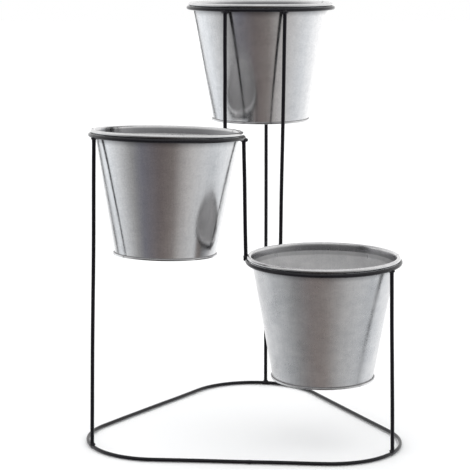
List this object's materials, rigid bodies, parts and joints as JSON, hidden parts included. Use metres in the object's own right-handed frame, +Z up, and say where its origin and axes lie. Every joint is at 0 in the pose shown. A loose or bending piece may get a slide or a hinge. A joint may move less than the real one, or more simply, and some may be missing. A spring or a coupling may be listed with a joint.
{
  "type": "plant stand",
  "caption": "Tiered plant stand: a black welded wire frame on a rounded triangular base, with rings at stepped heights that each hold a tapered zinc bucket.",
  "frame": {"origin": "on the floor, at the centre of the stand's footprint box", "axes": "+Z up; the front, with the base wire's nearly straight front run and the lower and middle buckets, faces -Y; +X is to the right as seen from the front"},
  "size_m": [0.4094, 0.39, 0.5599],
  "materials": {
    "black_enamel": "gloss black enamel on round steel wire",
    "weld_enamel": "gloss black enamel over weld beads",
    "zinc_sheet": "satin galvanised zinc sheet, faintly brushed and mottled",
    "rim_steel": "plain steel wire inside the rolled rim"
  },
  "bodies": {
    "frame": {"base_wire": "black_enamel", "base_wire_butt_weld": "weld_enamel", "top_ring": "black_enamel", "middle_ring": "black_enamel", "lower_ring": "black_enamel", "top_upright": "black_enamel", "middle_upright": "black_enamel", "lower_upright": "black_enamel", "strut_lower_to_middle": "black_enamel", "strut_lower_to_top": "black_enamel", "strut_middle_to_top": "black_enamel", "top_upright_foot_weld": "weld_enamel", "top_upright_head_weld": "weld_enamel", "middle_upright_foot_weld": "weld_enamel", "middle_upright_head_weld": "weld_enamel", "lower_upright_foot_weld": "weld_enamel", "lower_upright_head_weld": "weld_enamel", "strut_lower_to_middle_foot_weld": "weld_enamel", "strut_lower_to_middle_head_weld": "weld_enamel", "strut_lower_to_top_foot_weld": "weld_enamel", "strut_lower_to_top_head_weld": "weld_enamel", "strut_middle_to_top_foot_weld": "weld_enamel", "strut_middle_to_top_head_weld": "weld_enamel"},
    "top_bucket": {"top_bucket_wall": "zinc_sheet", "top_bucket_floor": "zinc_sheet", "top_bucket_rim_wire": "rim_steel"},
    "middle_bucket": {"middle_bucket_wall": "zinc_sheet", "middle_bucket_floor": "zinc_sheet", "middle_bucket_rim_wire": "rim_steel"},
    "lower_bucket": {"lower_bucket_wall": "zinc_sheet", "lower_bucket_floor": "zinc_sheet", "lower_bucket_rim_wire": "rim_steel"}
  },
  "joints": [
    {"name": "top_bucket_lift", "type": "slide", "parent": "frame", "child": "top_bucket", "axis": [0, 0, 1], "range_m": [0, 0.17]},
    {"name": "middle_bucket_lift", "type": "slide", "parent": "frame", "child": "middle_bucket", "axis": [0, 0, 1], "range_m": [0, 0.17]},
    {"name": "lower_bucket_lift", "type": "slide", "parent": "frame", "child": "lower_bucket", "axis": [0, 0, 1], "range_m": [0, 0.17]}
  ]
}
